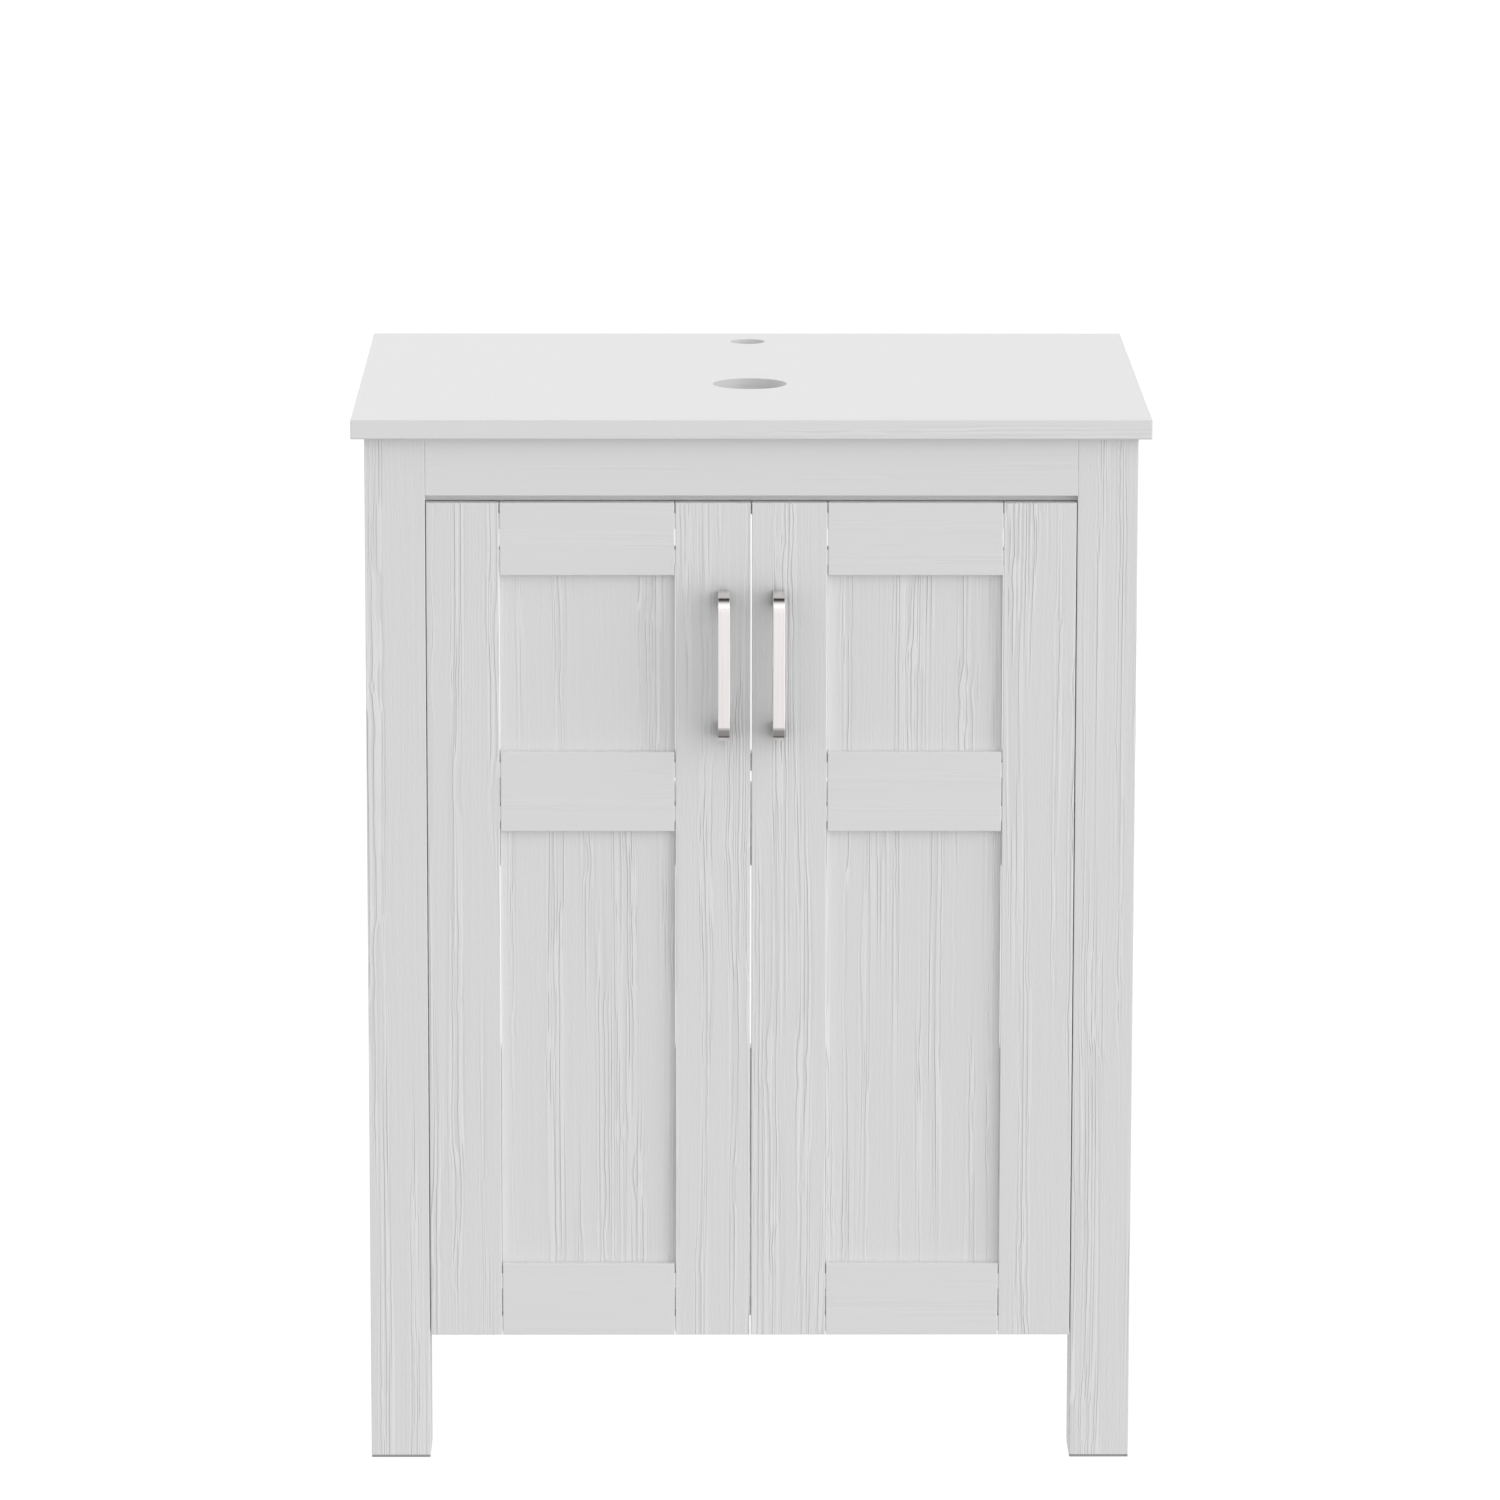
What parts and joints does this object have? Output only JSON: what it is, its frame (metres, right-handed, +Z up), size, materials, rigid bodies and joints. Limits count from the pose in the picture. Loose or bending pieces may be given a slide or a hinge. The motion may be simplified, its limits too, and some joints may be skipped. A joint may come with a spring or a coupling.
{
  "type": "bathroom vanity cabinet",
  "caption": "Free-standing bathroom vanity cabinet with a flat drilled top for a vessel basin, square legs, a shelf and paired framed doors on concealed hinges.",
  "frame": {"origin": "on the floor, under the middle of the whole outline", "axes": "+X to the viewer's right, +Y towards the wall, +Z up; the doors face -Y"},
  "size_m": [0.61, 0.493, 0.819],
  "materials": {
    "top_laminate": "smooth white laminate, satin",
    "white_foil": "white foil embossed with upright wood grain",
    "white_foil_across": "white foil embossed with level wood grain",
    "white_board": "plain white faced board",
    "satin_nickel": "satin nickel plate",
    "hinge_steel": "nickel plated pressed steel",
    "screw_steel": "bright zinc plate",
    "catch_plastic": "moulded white plastic",
    "magnet": "dark sintered magnet",
    "foot_plastic": "grey moulded glide",
    "dowel_wood": "bare beech"
  },
  "bodies": {
    "cabinet": {"countertop": "top_laminate", "front_top_rail": "white_foil_across", "front_stretcher": "white_board", "rear_top_rail": "white_board", "rear_bottom_rail": "white_board", "bottom_panel": "white_board", "shelf": "white_board", "shelf_pins": "hinge_steel", "carcass_dowels": "dowel_wood", "top_brackets": "hinge_steel", "bracket_screws": "screw_steel", "magnetic_catches": "catch_plastic", "catch_magnets": "magnet", "catch_screws": "screw_steel", "hinge_screws": "screw_steel", "front_left_leg": "white_foil", "front_left_foot_pad": "foot_plastic", "front_right_leg": "white_foil", "front_right_foot_pad": "foot_plastic", "rear_left_leg": "white_foil", "rear_left_foot_pad": "foot_plastic", "rear_right_leg": "white_foil", "rear_right_foot_pad": "foot_plastic", "left_side_panel": "white_foil", "left_hinge_plates": "hinge_steel", "left_hinge_arms": "hinge_steel", "right_side_panel": "white_foil", "right_hinge_plates": "hinge_steel", "right_hinge_arms": "hinge_steel"},
    "left_door": {"left_hinge_stile": "white_foil", "left_meeting_stile": "white_foil", "left_top_rail": "white_foil_across", "left_middle_rail": "white_foil_across", "left_bottom_rail": "white_foil_across", "left_upper_panel": "white_foil", "left_lower_panel": "white_foil", "left_door_dowels": "dowel_wood", "left_handle": "satin_nickel", "left_handle_screws": "screw_steel", "left_hinge_cups": "hinge_steel", "left_hinge_pins": "screw_steel", "left_cup_screws": "screw_steel", "left_strike_plate": "hinge_steel", "left_strike_screw": "screw_steel"},
    "right_door": {"right_hinge_stile": "white_foil", "right_meeting_stile": "white_foil", "right_top_rail": "white_foil_across", "right_middle_rail": "white_foil_across", "right_bottom_rail": "white_foil_across", "right_upper_panel": "white_foil", "right_lower_panel": "white_foil", "right_door_dowels": "dowel_wood", "right_handle": "satin_nickel", "right_handle_screws": "screw_steel", "right_hinge_cups": "hinge_steel", "right_hinge_pins": "screw_steel", "right_cup_screws": "screw_steel", "right_strike_plate": "hinge_steel", "right_strike_screw": "screw_steel"}
  },
  "joints": [
    {"name": "left_door_hinge", "type": "hinge", "parent": "cabinet", "child": "left_door", "pos_m": [-0.2273, -0.213, 0.426], "axis": [0, 0, -1], "range_deg": [0, 95]},
    {"name": "right_door_hinge", "type": "hinge", "parent": "cabinet", "child": "right_door", "pos_m": [0.2273, -0.213, 0.426], "axis": [0, 0, 1], "range_deg": [0, 95]}
  ]
}
